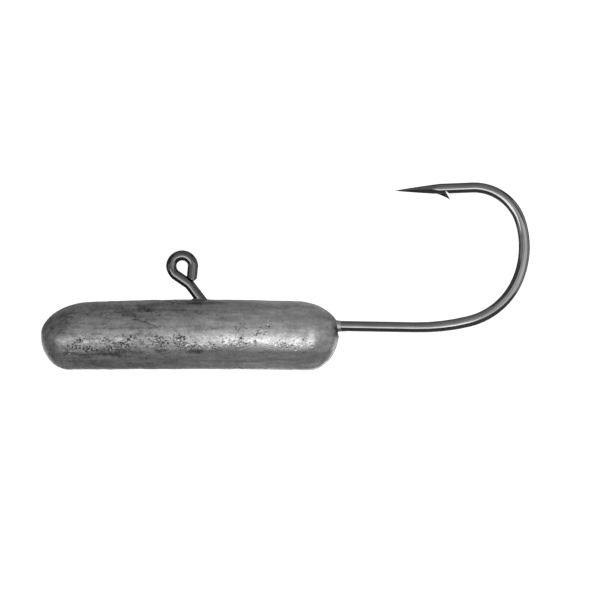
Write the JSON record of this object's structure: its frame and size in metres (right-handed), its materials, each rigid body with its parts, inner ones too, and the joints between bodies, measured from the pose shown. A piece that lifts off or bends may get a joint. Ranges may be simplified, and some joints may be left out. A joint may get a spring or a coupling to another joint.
{
  "type": "jig head",
  "caption": "Long bullet-shaped lead jig head cast on an offset wire hook with a closed line eye, a round bend and a barbed point.",
  "frame": {"origin": "centre of the line eye, in the hook's plane", "axes": "+X along the lead from the nose towards the hook's bend, +Y across the hook's plane, along the hole of the eye, +Z from the lead up to the eye and the point"},
  "size_m": [0.0481, 0.0068, 0.0184],
  "materials": {
    "lead": "satin",
    "black_nickel": "gloss"
  },
  "bodies": {
    "root": {"lead_head": "lead", "jig_hook": "black_nickel"}
  },
  "joints": []
}
